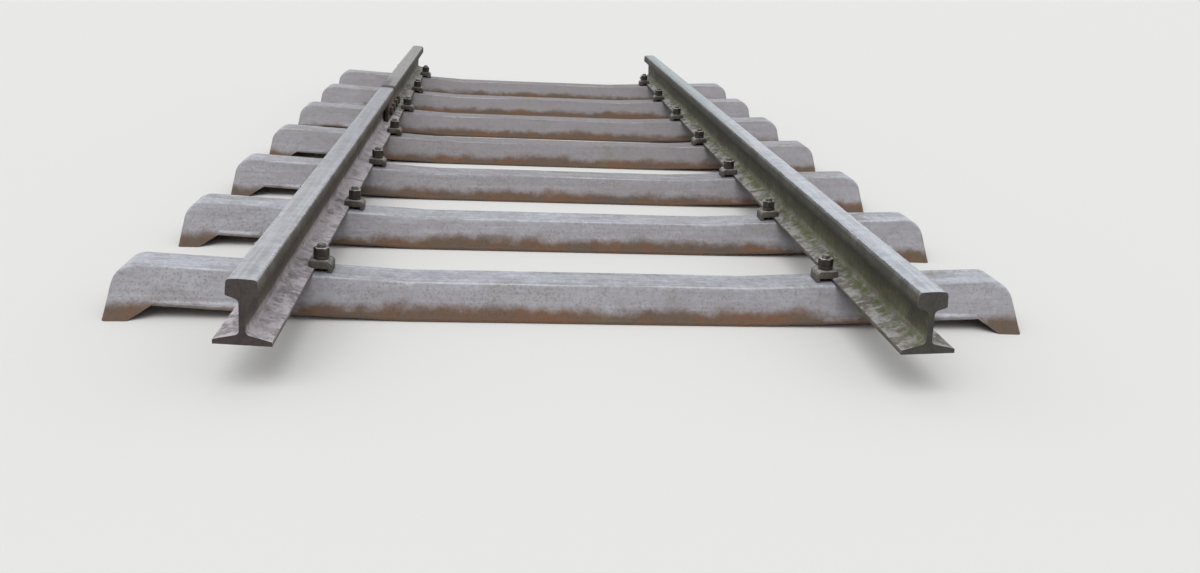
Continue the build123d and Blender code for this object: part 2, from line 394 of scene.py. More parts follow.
# Of four numbers, here and below, the first two say from where to where, the others what holds there.
railLook = {
    "shade": (0.36, 0.60, 0.70, 1.12),  # the running surface's clouding, darkest and lightest
    "pit": (0.20, 0.18, 0.165),
    "edgeLight": (0.70, 0.69, 0.66),
    "edgeDark": (0.17, 0.155, 0.13),
    "bare": (0.048, 0.038, 0.032),  # in the pits of the sides
    "joint": (0.055, 0.041, 0.034),
    "grey": (0.22, 0.205, 0.18),
    "green": (0.090, 0.115, 0.038),
    "greenLight": (0.19, 0.21, 0.080),
    "far": (-2.0, 0.6),  # along the track, from where to where the finish changes
    "topStart": (0.128, 0.134),  # above the foot, where the running surface starts
    "innerHalf": (-0.026, 0.004),  # across the head, counted outward from its middle
    "outerHalf": (-0.010, 0.008, 0.30, 1.0),
    "middle": (0.006, 0.022),  # from the middle of the head to either side
    "rim": (0.0205, 0.0265),
    "footStart": (0.034, 0.018),  # above the foot's underside
    "algaeAcross": (0.02, -0.02, 0.35, 1.0),  # from the outer side to the inner one
    "algaeTop": (0.100, 0.055, 0.06, 1.0),
    "algaeReach": (0.022, 0.044, 1.0, 0.14),  # from the middle of the foot to either side
    "wearStart": (0.112, 0.130, 0.10, 0.30),  # above the foot, where the edges are worn most
    "jointLine": (0.078, 0.036, 0.0, 0.94),  # away from the joint
    "jointSmear": (0.46, 0.10),
    "jointWaver": 0.030,
    "jointDepth": (0.115, 0.135),  # above the foot, and so are the levels of the sides' tones
    "levels": (0, 0.014, 0.034, 0.044, 0.062, 0.085, 0.112, 0.121, 0.127, 0.138, 0.144),
    "nibble": (150.0, 6, 0.74),  # noises: scale, detail, roughness and distortion
    "streaks": ((150, 2.2, 150), 6, 0.6),
    "clouds": (30.0, 7, 0.7),
    "stains": ((45, 1.1, 45), 5, 0.6, 0.4),
    "runs": ((12, 120, 9), 5, 0.6),
    "dustAndLight": (34.0, 7, 0.7),
    "stained": (0.50, 0.72),  # of each noise, from where to where it shows
    "lightFlakes": (0.53, 0.63, 0.0, 0.80),
    "darkFlakes": (0.50, 0.36, 0.0, 0.70),
    "greyFlakes": (0.56, 0.70),
    "settled": (0.40, 0.58),
    "level": (0.35, 0.85),  # how level the foot is where the pale patches, dust and painted light, start and where they lie full
    "square": (0.55, 0.85),  # how squarely a face looks along the track at the rail's cut end
    "endGrain": 0.3,
    "cloudShare": 0.55,  # of the clouding, and the rest is streaks
    "flakeShare": 0.28,
    "pitShare": 0.38,
    "sidePitShare": (0.45, 0.12),  # on the sides and on the foot
    "runShade": (0.3, 0.7, 0.80, 1.20),
    "blotchShade": (0, 1, 0.74, 1.24),
    "grainShade": (0, 1, 0.80, 1.22),
    "rust": {"Grain": 380.0, "Blotch": 11.0},
    "topPits": {"Scale": 420.0, "Amount": 0.50},
    "sidePits": {"Scale": 150.0, "Amount": 0.75},
    "algae": {"Scale": 30.0, "Upward": 0.8},
    "wear": {"Width": 0.0035, "Breakup": 60.0},
    "roughTop": 0.38,
    "roughPits": 0.25,  # more in the pits there
    "roughSides": (0, 1, 0.62, 0.86),
    "topRelief": (0.25, 0.12),  # of the pits and the streaks
    "sideRelief": 0.7,  # of the pits
    "metallic": 0.30,  # of the running surface
    "bump": (0.8, 0.0016),  # strength and depth
}
leftLook = {
    "side": -1,
    "corner": (0.45, 0.90),
    "ragged": 0.30,
    "inner": (1.0, 1.0),
    "end": ((0.032, 0.023, 0.022), (0.064, 0.048, 0.046)),
}
railFinishes = {
    "rightRailSteel": {
        "side": 1,
        "top": (0.495, 0.535, 0.600),
        "fade": (-0.9, 0.9, (0.66, 0.72, 0.69)),  # along the rail, from where to where and by what: painted shade of the trees far along, greener with moss
        "corner": (0.82, 0.94),  # how level the steel is where the running surface starts
        "ragged": 0.46,  # how much rust breaks that line up
        "inner": (0.92, 0.64),  # shade of the head's inner half, at the cut end and far along
        "centre": 1.0,  # shade of the middle of the running surface
        "farSide": 0.60,  # painted shade of the sides, far along
        "stain": (0.30, 0.275, 0.255),
        "stainShare": 0.30,
        "end": ((0.032, 0.029, 0.026), (0.060, 0.055, 0.047)),
        "foot": (0.430, 0.420, 0.425),
        "algaeAmount": 0.46,  # how far it has spread, below 0 hardly at all
        "tones": [  # of the sides, at each level from the foot up: near black just under the head as painted shade, paler on the foot partly as painted light
            (0.060, 0.050, 0.040), (0.180, 0.165, 0.132), (0.195, 0.182, 0.145),
            (0.094, 0.092, 0.052), (0.063, 0.059, 0.034), (0.032, 0.030, 0.016),
            (0.010, 0.009, 0.004), (0.032, 0.030, 0.018), (0.060, 0.058, 0.040),
            (0.064, 0.065, 0.052), (0.150, 0.151, 0.146),
        ],
    },
    "leftRailSteel": {
        **leftLook,
        "top": (0.425, 0.440, 0.482),
        "fade": (-2.2, -0.2, (0.67, 0.68, 0.72)),
        "centre": 0.92,
        "farSide": 1.35,
        "smear": 0.0,  # rust drawn along the running surface from the joint
        "stain": (0.29, 0.265, 0.245),
        "stainShare": 0.40,
        "foot": (0.640, 0.595, 0.640),
        "algaeAmount": -0.15,
        "tones": [
            (0.060, 0.050, 0.040), (0.400, 0.365, 0.385), (0.300, 0.270, 0.275),
            (0.080, 0.066, 0.054), (0.047, 0.032, 0.020), (0.064, 0.048, 0.033),
            (0.016, 0.010, 0.004), (0.034, 0.025, 0.013), (0.056, 0.045, 0.029),
            (0.096, 0.084, 0.070), (0.124, 0.114, 0.105),
        ],
    },
    "leftRearSteel": {
        **leftLook,
        "top": (0.222, 0.216, 0.224),
        "fade": (0.6, 2.2, (0.90, 0.90, 0.90)),
        "centre": 0.97,
        "farSide": 0.75,
        "smear": 0.60,
        "stain": (0.170, 0.143, 0.125),
        "stainShare": 0.60,
        "foot": (0.470, 0.460, 0.440),
        "algaeAmount": 0.20,
        "tones": [
            (0.060, 0.050, 0.040), (0.220, 0.212, 0.185), (0.215, 0.208, 0.178),
            (0.108, 0.102, 0.074), (0.062, 0.052, 0.036), (0.034, 0.030, 0.022),
            (0.012, 0.010, 0.007), (0.018, 0.016, 0.012), (0.026, 0.024, 0.019),
            (0.042, 0.040, 0.035), (0.094, 0.091, 0.086),
        ],
    },
}


def railSpot(tree, place, look):
    # Where a point lies on its rail, and what the parts of the rail's finish share.
    side = look["side"]
    seat = {
        "Location": (side * track["railX"], 0, track["seatZ"]),
        "Rotation": (0, -side * lean, 0),
        "Scale": (side, 1, 1),
    }
    vector = addNode(tree, "Mapping", {"Vector": place, **seat}, vector_type="TEXTURE").outputs[0]
    axes = split(tree, vector)
    normal = surfaceNormal(tree)
    return SimpleNamespace(
        vector=vector,
        across=axes["X"],  # outward from the middle of the rail
        offCentre=maths(tree, "ABSOLUTE", axes["X"]),
        along=axes["Y"],
        up=axes["Z"],  # from the underside of the foot
        facing=dot(tree, normal, (-side * math.sin(lean), 0, math.cos(lean))),
        forward=maths(tree, "ABSOLUTE", split(tree, normal)["Y"]),
        far=band(tree, axes["Y"], *look["far"]),
        nibble=cloud(tree, vector, *look["nibble"]),
        rust=useGroup(tree, "rustGrain", vector, look["rust"]),
    )


def runningSurface(tree, look, spot):
    # Worn grey steel, its pale blue-grey partly a painted reflection of the sky, streaked along the rail
    # and broken at its rims: where, colour, height and pits.
    flaked = times(tree, aroundZero(tree, spot.nibble), look["ragged"])
    level = band(tree, plus(tree, spot.facing, flaked), *look["corner"])
    onTop = times(tree, level, band(tree, spot.up, *look["topStart"]))

    streaks = streak(tree, spot.vector, *look["streaks"])
    clouds = cloud(tree, spot.vector, *look["clouds"])
    clouding = choose(tree, look["cloudShare"], streaks, clouds)
    # Painted reflection: the top colours are paler and bluer than the worn steel alone, for the sky's sheen
    # on the running surface.
    colour = shade(tree, look["top"], band(tree, clouding, *look["shade"]))
    stained = band(tree, streak(tree, spot.vector, *look["stains"]), *look["stained"])
    colour = coat(tree, colour, look["stain"], stained, look["stainShare"])
    pits = useGroup(tree, "pitting", spot.vector, look["topPits"])
    pitted = times(tree, pits["Mask"], look["pitShare"])
    colour = coat(tree, colour, look["pit"], pitted)

    # Painted shade: the running surface darkens far along the rail, where the trees shade it.
    fadeFrom, fadeTo, fadeTone = look["fade"]
    colour = shade(tree, colour, fadeTone, band(tree, spot.along, fadeFrom, fadeTo))
    innerShade = choose(tree, spot.far, *look["inner"])
    innerHalf = band(tree, spot.across, *look["innerHalf"], innerShade, 1.0)
    middle = band(tree, spot.offCentre, *look["middle"], look["centre"], 1.0)
    colour = shade(tree, colour, times(tree, innerHalf, middle))
    nearRim = band(tree, spot.offCentre, *look["rim"])
    lightFlakes = band(tree, spot.nibble, *look["lightFlakes"])
    colour = coat(tree, colour, look["edgeLight"], nearRim, lightFlakes)
    darkFlakes = band(tree, spot.nibble, *look["darkFlakes"])
    colour = coat(tree, colour, look["edgeDark"], nearRim, darkFlakes)
    pitRelief, streakRelief = look["topRelief"]
    height = plus(tree, times(tree, pits["Height"], pitRelief), times(tree, streaks, streakRelief))
    return onTop, colour, height, pitted


def toneByHeight(tree, look, up):
    ramp = addNode(tree, "ValToRGB", {"Fac": maths(tree, "DIVIDE", up, track["railHeight"])})
    stops = ramp.color_ramp.elements
    for number, (level, tone) in enumerate(zip(look["levels"], look["tones"])):
        position = level / track["railHeight"]
        stop = stops[number] if number < 2 else stops.new(position)
        stop.position = position
        stop.color = (*tone, 1)
    return ramp.outputs["Color"]


def rustedSides(tree, look, spot):
    # A tone for each level, with painted shade under the head, then runs, grain and pits, pale patches on
    # the foot, partly settled dust and partly painted light, and algae low down.
    onFoot = band(tree, spot.up, *look["footStart"])
    runs = streak(tree, spot.vector, *look["runs"])
    # The mottle's last factor, farSide, paints the sides darker or lighter far along the rail, as painted
    # shade and light.
    mottle = times(
        tree,
        band(tree, spot.rust["Blotch"], *look["blotchShade"]),
        choose(tree, onFoot, band(tree, runs, *look["runShade"]), 1.0),
        band(tree, spot.rust["Grain"], *look["grainShade"]),
        choose(tree, spot.far, 1.0, look["farSide"]),
    )
    # The tones paint shade: near black on the web just under the head.
    colour = shade(tree, toneByHeight(tree, look, spot.up), mottle)
    flakes = band(tree, spot.nibble, *look["greyFlakes"])
    colour = coat(tree, colour, look["grey"], flakes, look["flakeShare"])
    pits = useGroup(tree, "pitting", spot.vector, look["sidePits"])
    pitShare = choose(tree, onFoot, *look["sidePitShare"])
    colour = coat(tree, colour, look["bare"], pits["Mask"], pitShare)

    # Pale patches on the foot's level faces: partly settled dust, partly painted light where the foot faces
    # the sky.
    settled = band(tree, cloud(tree, spot.vector, *look["dustAndLight"]), *look["settled"])
    level = band(tree, spot.facing, *look["level"])
    colour = coat(tree, colour, look["foot"], onFoot, level, settled)
    algae = useGroup(tree, "algae", spot.vector, {**look["algae"], "Amount": look["algaeAmount"]})
    film = times(
        tree,
        algae["Mask"],
        band(tree, spot.across, *look["algaeAcross"]),
        band(tree, spot.up, *look["algaeTop"]),
        band(tree, spot.offCentre, *look["algaeReach"]),
    )
    green = blend(tree, spot.rust["Grain"], look["green"], look["greenLight"])
    colour = coat(tree, colour, green, film)
    pitHeight = times(tree, pits["Height"], look["sideRelief"])
    return colour, plus(tree, spot.rust["Height"], pitHeight, times(tree, algae["Height"], film))


def cutEnd(tree, look, spot, colour):
    # Evenly dark where the rail was cut square.
    dark, light = look["end"]
    tone = blend(tree, spot.rust["Blotch"], dark, light)
    tone = coat(tree, tone, dark, spot.rust["Grain"], look["endGrain"])
    return coat(tree, colour, tone, band(tree, spot.forward, *look["square"]))


def jointRust(tree, look, spot):
    # A dark line across both rail ends at the joint, smeared along the outer half of the head.
    away = maths(tree, "ABSOLUTE", maths(tree, "SUBTRACT", spot.along, track["jointY"]))
    away = plus(tree, away, times(tree, spot.nibble, look["jointWaver"]))
    outerHalf = band(tree, spot.across, *look["outerHalf"])
    smeared = times(tree, band(tree, away, *look["jointSmear"]), look["smear"], outerHalf)
    return maths(tree, "MAXIMUM", smeared, band(tree, away, *look["jointLine"]))


def makeRailSteel(name):
    # Worn grey running surface, paler and bluer as a painted sky reflection, dark rusted sides with painted
    # shade under the head, pale foot, partly dust and partly painted light, with algae.
    look = {**railLook, **railFinishes[name]}
    material, tree, shader, place = newMaterial(name)
    spot = railSpot(tree, place, look)
    onTop, topColour, topHeight, pitted = runningSurface(tree, look, spot)
    sideColour, sideHeight = rustedSides(tree, look, spot)
    sideColour = cutEnd(tree, look, spot, sideColour)
    if look["side"] < 0:
        rusted = jointRust(tree, look, spot)
        onTop = times(tree, onTop, maths(tree, "SUBTRACT", 1.0, rusted))
        onHead = band(tree, spot.up, *look["jointDepth"])
        sideColour = coat(tree, sideColour, look["joint"], rusted, onHead)

    colour = blend(tree, onTop, sideColour, topColour)
    wear = useGroup(tree, "edgeWear", spot.vector, look["wear"])["Mask"]
    wearShare = band(tree, spot.up, *look["wearStart"])
    colour = coat(tree, colour, look["grey"], wear, wearShare)
    roughness = band(tree, spot.rust["Grain"], *look["roughSides"])
    roughness = choose(tree, onTop, roughness, look["roughTop"])
    roughness = plus(tree, roughness, times(tree, pitted, look["roughPits"]))
    metallic = times(tree, onTop, look["metallic"])
    height = choose(tree, onTop, sideHeight, topHeight)
    finishShader(tree, shader, colour, roughness, metallic, height, look["bump"])
    return material


sleeperLook = {
    "top": (0.560, 0.590, 0.670),
    "topDull": (0.400, 0.405, 0.450),
    "flankShade": (0.245, 0.228, 0.236),
    "lilac": (0.158, 0.136, 0.143),
    "brown": (0.225, 0.180, 0.160),
    "scale": (0.130, 0.110, 0.105),
    # edge: pale tone of the painted highlight along the rounded edges, also laid on the worn edges
    "edge": (0.660, 0.665, 0.700),
    "earth": (0.130, 0.094, 0.066),
    "orange": (0.185, 0.092, 0.046),
    "green": (0.140, 0.160, 0.070),
    "older": (-1.30, 0.10, 0.20, 0.86),  # along the track, from where to where the tops turn lilac
    "inside": (0.95, 0.78, 0.45, 1.0),  # from the middle of the track, where the ends stay grey
    "level": (0.985, 0.955),  # how level the steel is on top, and where its rounded edge with the painted highlight starts
    "steep": (0.72, 0.88),  # and where that edge ends
    "flankStart": (0.88, 0.55, 0.0, 0.72),  # how level the steel is where the flanks' darker tone, a painted shade, takes over
    "below": (-0.05, -0.4),  # and where it looks down and is earthy all over
    "rolled": ((3.2, 120, 120), 6, 0.62),  # noises: scale, detail, roughness and distortion
    "blotches": ((9, 16, 16), 8, 0.64),
    "streaks": ((9, 420, 420), 4, 0.6),
    "mottle": (52.0, 8, 0.74, 0.3),
    "patches": ((4.5, 9, 9), 8, 0.66, 0.6),
    "dulled": (0.40, 0.62),  # of each noise, from where to where it shows
    "browned": (0.51, 0.68, 0.0, 0.62),
    "eaten": (0.42, 0.60, 0.08, 0.34),
    "paintedHighlightBreaks": (0.56, 0.40, 0.04, 0.50),
    "blotchShare": 0.62,  # of the weathering, and the rest is streaks from the rolling
    "grainShare": 0.22,
    "earthGrain": 0.4,
    "wearShare": 0.5,
    "algaeShare": 0.45,
    "streakShade": (0.34, 0.66, 0.93, 1.06),
    "mottleShade": (0.34, 0.66, 0.80, 1.16),
    "rust": {"Grain": 330.0, "Blotch": 5.5},
    "pits": {"Scale": 120.0, "Amount": 0.66},
    "finePits": {"Scale": 380.0, "Amount": 0.60},
    "wear": {"Width": 0.006, "Breakup": 28.0},
    "dirt": {"Level": 0.034, "Spread": 0.014, "Waver": 0.075},  # up from the lower edges
    "algae": {"Scale": 7.0, "Amount": 0.10, "Upward": 0.5},
    "roughTop": (0.3, 0.7, 0.46, 0.64),
    "roughPits": 0.2,  # more in the pits there
    "roughDirt": 0.88,
    "relief": (0.55, 0.20, 0.35),  # of the pits, the fine pits and the rolling
    "metallic": 0.12,
    "bump": (0.7, 0.0014),
}


def rolledTop(tree, place, rolled, grain, pitMasks):
    # Grey steel that turns lilac along the track, streaked, with brown patches and pits.
    look = sleeperLook
    weathered = choose(tree, look["blotchShare"], rolled, streak(tree, place, *look["blotches"]))
    colour = blend(tree, band(tree, weathered, *look["dulled"]), look["top"], look["topDull"])
    axes = split(tree, place)
    older = band(tree, axes["Y"], *look["older"])
    inside = band(tree, maths(tree, "ABSOLUTE", axes["X"]), *look["inside"])
    colour = coat(tree, colour, look["lilac"], older, inside)
    streaks, mottle = streak(tree, place, *look["streaks"]), cloud(tree, place, *look["mottle"])
    colour = shade(tree, colour, band(tree, streaks, *look["streakShade"]))
    colour = shade(tree, colour, band(tree, mottle, *look["mottleShade"]))
    patches = streak(tree, place, *look["patches"])
    colour = coat(tree, colour, look["brown"], band(tree, patches, *look["browned"]))
    colour = coat(tree, colour, look["topDull"], grain, look["grainShare"])
    eaten = band(tree, patches, *look["eaten"])
    for mask in pitMasks:
        colour = coat(tree, colour, look["scale"], mask, eaten)
    return colour


def makeSleeperSteel():
    # Weathered tops, flanks painted darker as shade, a painted highlight on the rounded edges, earth and
    # fresh rust low down.
    look = sleeperLook
    material, tree, shader, place = newMaterial("sleeperSteel")
    rust = useGroup(tree, "rustGrain", place, look["rust"])
    pits = useGroup(tree, "pitting", place, look["pits"])
    finePits = useGroup(tree, "pitting", place, look["finePits"])
    rolled = streak(tree, place, *look["rolled"])
    colour = rolledTop(tree, place, rolled, rust["Grain"], (pits["Mask"], finePits["Mask"]))

    facing = split(tree, surfaceNormal(tree))["Z"]
    # Painted shade: faces that turn away from the sky take the darker flank tone, so the tops read lighter.
    colour = coat(tree, colour, look["flankShade"], band(tree, facing, *look["flankStart"]))
    # Painted highlight: a pale line along the rounded edge where the top turns down, broken up by the
    # rolling streaks.
    rim = times(
        tree,
        band(tree, facing, *look["level"]),
        band(tree, facing, *look["steep"]),
        band(tree, rolled, *look["paintedHighlightBreaks"]),
    )
    colour = coat(tree, colour, look["edge"], rim)
    wear = useGroup(tree, "edgeWear", place, look["wear"])["Mask"]
    colour = coat(tree, colour, look["edge"], wear, look["wearShare"])

    dirt = useGroup(tree, "dirtLine", place, look["dirt"])["Mask"]
    earth = blend(tree, rust["Blotch"], look["earth"], look["orange"])
    earth = coat(tree, earth, look["scale"], rust["Grain"], look["earthGrain"])
    below = band(tree, facing, *look["below"])
    colour = coat(tree, colour, earth, maths(tree, "MAXIMUM", dirt, below))
    algae = useGroup(tree, "algae", place, look["algae"])["Mask"]
    colour = coat(tree, colour, look["green"], algae, look["algaeShare"])

    roughness = band(tree, rolled, *look["roughTop"])
    roughness = choose(tree, dirt, roughness, look["roughDirt"])
    roughness = plus(tree, roughness, times(tree, pits["Mask"], look["roughPits"]))
    height = rust["Height"]
    for relief, share in zip((pits["Height"], finePits["Height"], rolled), look["relief"]):
        height = plus(tree, height, times(tree, relief, share))
    finishShader(tree, shader, colour, roughness, look["metallic"], height, look["bump"])
    return material


fittingLook = {
    "wear": {"Width": 0.0022, "Breakup": 150.0},
    "algae": {"Scale": 30.0, "Amount": 0.15, "Upward": 0.5},
    "pitScale": 0.6,  # as a share of the rust's grain
    "pitAmount": 0.7,
    "pitShare": 0.6,
    "wearShare": 0.7,
    "algaeShare": 0.5,
    "dustAndLight": (6, 0.7),  # a noise of this detail and roughness
    "dustAndLightScale": 3,  # to one of the rust's blotches
    "spots": (0.34, 0.60),  # of that noise, from where to where it shows
    "level": (0.55, 0.92),  # how level the steel is where the pale tone, dust and painted light, starts and where it lies full
    "rough": (0, 1, 0.58, 0.86),
    "relief": 0.6,  # of the pits
    "metallic": 0.1,
    "bump": 0.75,  # its strength, and each finish has its depth
}
fittingFinishes = {
    "clampSteel": {
        "base": (0.056, 0.048, 0.040),
        "light": (0.145, 0.134, 0.112),
        "settled": (0.40, 0.40, 0.385),
        "edge": (0.24, 0.225, 0.205),
        "grain": 420.0,
        "blotch": 24.0,
        "dustAndLightShare": 0.85,
        "depth": 0.0012,
    },
    "nutSteel": {
        "base": (0.018, 0.014, 0.011),
        "light": (0.048, 0.038, 0.028),
        "settled": (0.60, 0.585, 0.575),
        "edge": (0.42, 0.40, 0.385),
        "grain": 640.0,
        "blotch": 45.0,
        "dustAndLightShare": 1.0,
        "depth": 0.0007,
    },
    "hookBoltSteel": {
        "base": (0.018, 0.014, 0.011),
        "light": (0.062, 0.044, 0.031),
        "settled": (0.46, 0.44, 0.425),
        "edge": (0.26, 0.24, 0.22),
        "grain": 640.0,
        "blotch": 50.0,
        "dustAndLightShare": 0.8,
        "depth": 0.0006,
    },
    "washerSteel": {
        "base": (0.022, 0.017, 0.013),
        "light": (0.080, 0.056, 0.038),
        "settled": (0.15, 0.135, 0.115),
        "edge": (0.22, 0.20, 0.18),
        "grain": 600.0,
        "blotch": 40.0,
        "dustAndLightShare": 0.5,
        "depth": 0.0006,
    },
    "fishplateSteel": {
        "base": (0.045, 0.034, 0.025),
        "light": (0.120, 0.092, 0.066),
        "settled": (0.19, 0.17, 0.15),
        "edge": (0.22, 0.20, 0.18),
        "grain": 380.0,
        "blotch": 14.0,
        "dustAndLightShare": 0.6,
        "depth": 0.0013,
    },
}


def makeFittingSteel(name):
    # Dark rusted fittings, pale on faces that look up, partly settled dust and partly painted light, and
    # where edges are worn.
    look = {**fittingLook, **fittingFinishes[name]}
    material, tree, shader, place = newMaterial(name)
    rust = useGroup(tree, "rustGrain", place, {"Grain": look["grain"], "Blotch": look["blotch"]})
    pitting = {"Scale": look["grain"] * look["pitScale"], "Amount": look["pitAmount"]}
    pits = useGroup(tree, "pitting", place, pitting)
    wear = useGroup(tree, "edgeWear", place, look["wear"])["Mask"]
    algae = useGroup(tree, "algae", place, look["algae"])["Mask"]
    colour = blend(tree, rust["Blotch"], look["base"], look["light"])
    colour = coat(tree, colour, look["base"], pits["Mask"], look["pitShare"])
    # Painted light in part: faces that look up take a pale tone in patches, with dust, against the dark
    # sides.
    level = band(tree, split(tree, surfaceNormal(tree))["Z"], *look["level"])
    dustAndLight = cloud(tree, place, look["blotch"] * look["dustAndLightScale"], *look["dustAndLight"])
    spots = band(tree, dustAndLight, *look["spots"])
    colour = coat(tree, colour, look["settled"], level, look["dustAndLightShare"], spots)
    colour = coat(tree, colour, look["edge"], wear, look["wearShare"])
    colour = coat(tree, colour, railLook["green"], algae, look["algaeShare"])
    roughness = band(tree, rust["Grain"], *look["rough"])
    height = plus(tree, rust["Height"], times(tree, pits["Height"], look["relief"]))
    bump = (look["bump"], look["depth"])
    finishShader(tree, shader, colour, roughness, look["metallic"], height, bump)
    return material


materials = {name: makeFittingSteel(name) for name in fittingFinishes}
materials["sleeperSteel"] = makeSleeperSteel()
materials.update({name: makeRailSteel(name) for name in railFinishes})
print("finishes built")

# The nodes as they come from the frame get the same finishes as the pieces made from them.
nodeFinish = {
    "sleeper": "sleeperSteel",
    "clamp_plates": "clampSteel",
    "hook_bolts": "hookBoltSteel",
    "spring_washers": "washerSteel",
    "nuts": "nutSteel",
    "outer_fishplate": "fishplateSteel",
    "inner_fishplate": "fishplateSteel",
    "fishplate_bolts": "hookBoltSteel",
    "fishplate_nuts": "nutSteel",
    "right_rail": "rightRailSteel",
    "left_rail_front": "leftRailSteel",
    "left_rail_rear": "leftRearSteel",
}


def finishOf(nodeName):
    return materials[next(nodeFinish[start] for start in nodeFinish if nodeName.startswith(start))]


for nodeName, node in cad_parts.items():
    node.data.materials.clear()
    node.data.materials.append(finishOf(nodeName))


# Shapes. Each piece made here stands for the CAD nodes that it names.
mend = {
    "merge": 0.00002,  # corners closer than this are one
    "flat": 0.6,  # degrees between the triangles of one flat face
}


def placePiece(bm, name, nodes, smoothTo=35):
    mesh = bpy.data.meshes.new(name)
    bm.to_mesh(mesh)
    bm.free()
    mesh.materials.append(finishOf(nodes[0]))
    mesh.shade_smooth()
    mesh.set_sharp_from_angle(angle=math.radians(smoothTo))
    piece = bpy.data.objects.new(name, mesh)
    bpy.context.scene.collection.objects.link(piece)
    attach(piece, "root")
    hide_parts(*nodes)


def copyOfNode(nodeName):
    # A node's triangles joined up, with the flat faces made whole.
    bm = bmesh.new()
    bm.from_mesh(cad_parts[nodeName].data)
    bmesh.ops.remove_doubles(bm, verts=bm.verts, dist=mend["merge"])
    flat = math.radians(mend["flat"])
    bmesh.ops.dissolve_limit(bm, angle_limit=flat, verts=bm.verts, edges=bm.edges)
    return bm


def seatMatrix(side, y, hand, turn):
    # A hook bolt's own axes: X away from the rail, Z square to the rail seat, Z 0 on the seat.
    across = Vector((math.cos(lean), 0, side * math.sin(lean)))
    upward = Vector((-side * math.sin(lean), 0, math.cos(lean)))
    away = across * hand
    sideways = upward.cross(away)
    place = Vector((side * track["railX"], y, track["seatZ"])) + away * track["boltOffset"]
    axes = Matrix((away, sideways, upward)).transposed().to_4x4()
    return Matrix.Translation(place) @ axes @ Matrix.Rotation(math.radians(turn), 4, "Z")


def sleeperPlace(number):
    return track["firstSleeper"] + (number - 1) * track["pitch"]


def boltMatrices(number, turning=False):
    # The four hook bolts of one sleeper, turned as their nuts came to rest where that is asked.
    matrices = []
    for side in (-1, 1):
        for hand in (-1, 1):
            turn = track["nutTurn"] * (number * 4 + len(matrices)) if turning else 0
            matrices.append(seatMatrix(side, sleeperPlace(number), hand, turn))
    return matrices


def asMesh(bm, name):
    bmesh.ops.recalc_face_normals(bm, faces=bm.faces)
    mesh = bpy.data.meshes.new(name)
    bm.to_mesh(mesh)
    bm.free()
    return mesh


def repeated(single, matrices):
    # One mesh with a copy of the single piece at each place.
    bm = bmesh.new()
    for matrix in matrices:
        copy = single.copy()
        copy.transform(matrix)
        bm.from_mesh(copy)
        bpy.data.meshes.remove(copy)
    return bm


def addPart(bm, part):
    # Puts a part made by itself into the mesh, its faces turned outward.
    mesh = asMesh(part, "part")
    bm.from_mesh(mesh)
    bpy.data.meshes.remove(mesh)


def onlyEdges(parts):
    return [part for part in parts if isinstance(part, bmesh.types.BMEdge)]


def sharpEdges(bm, angle):
    limit = math.radians(angle)
    return [edge for edge in bm.edges if edge.is_manifold and edge.calc_face_angle(0) > limit]


def bevel(bm, parts, width, segments=2, affect="EDGES"):
    bmesh.ops.bevel(
        bm,
        geom=parts,
        offset=width,
        offset_type="OFFSET",
        segments=segments,
        profile=0.5,
        affect=affect,
        material=-1,
        clamp_overlap=affect == "EDGES",
    )


def draw(bm, edges, step, steps, angle=0.0):
    # Draws the edges on by each step, round Z where an angle is given, and returns the last row.
    drawn = bmesh.ops.spin(
        bm,
        geom=edges,
        cent=(0, 0, 0),
        axis=(0, 0, 1),
        dvec=step,
        angle=angle,
        steps=steps,
        use_duplicate=False,
    )
    return onlyEdges(drawn["geom_last"])


def bisect(bm, place, direction, snap, clear=False):
    # Cuts along the plane, clears what lies beyond it where that is asked, and returns the rim.
    cut = bmesh.ops.bisect_plane(
        bm,
        geom=bm.verts[:] + bm.edges[:] + bm.faces[:],
        dist=snap,
        plane_co=place,
        plane_no=direction,
        clear_outer=clear,
    )
    return onlyEdges(cut["geom_cut"])


def noisePlace(point, scale, shift):
    # Where a point lies in the noise: the scale for each axis, then the shift.
    return Vector([place * factor + move for place, factor, move in zip(point, scale, shift)])


# Rails.
rail = {
    "headWidth": 0.067,
    "headFlare": 0.0015,
    "headSide": 0.038,
    "headSlope": 1 / 3,
    "crown": 0.300,
    "web": 0.014,
    "foot": 0.125,
    "footEdge": 0.0105,
    "footSlope": 1 / 4,
    "topRadius": 0.009,
    "webRadius": 0.010,
    "smallRadius": 0.0025,
    "across": 0.0065,  # the mesh's greatest step across the section
    "along": 0.0072,  # and along the rail
    "cuts": 24,  # in each bay of the mesh along the rail
    "flake": 0.0015,  # rust's greatest bite, at the edges
    "skin": 0.00035,  # and elsewhere
    "skinSpread": 1.6,  # how much sooner the skin has gone all through
    "runningLoss": (0.0001, 0.35),  # everywhere on top, and as a share of the skin
    "untouched": 0.0005,  # up from the foot's underside nothing is lost
    "topCorner": (0.024, 0.012),  # from how far out, and how far down, rust bites the edges
    "headCorner": (0.028, 0.005),
    "footCorner": 0.010,
    "topSkin": 0.004,  # how far down the running surface reaches
    "slant": 0.25,  # how far a loss at the rail's ends may turn along the rail
    "batter": 0.0012,  # how far a rail's end is beaten down at the joint
    "batterLength": 0.060,
    "coarse": (70, 55, 70),  # scales of the rust's noise along X, Y and Z
    "fine": (260, 210, 260),
    "fractal": (0.6, 2.1, 3),
    "share": (0.55, 0.30, 0.12),  # of the coarse noise, of the fine one, and lost everywhere
    "smoothTo": 30,  # degrees between faces that are shaded as one
}
railTop = track["railHeight"]


def roundCorner(bm, vert, radius):
    first, second = [(edge.other_vert(vert).co - vert.co).normalized() for edge in vert.link_edges]
    turn = math.pi - first.angle(second)
    segments = 3 if radius == rail["smallRadius"] else 5
    bevel(bm, [vert], radius * math.tan(turn / 2), segments, "VERTICES")


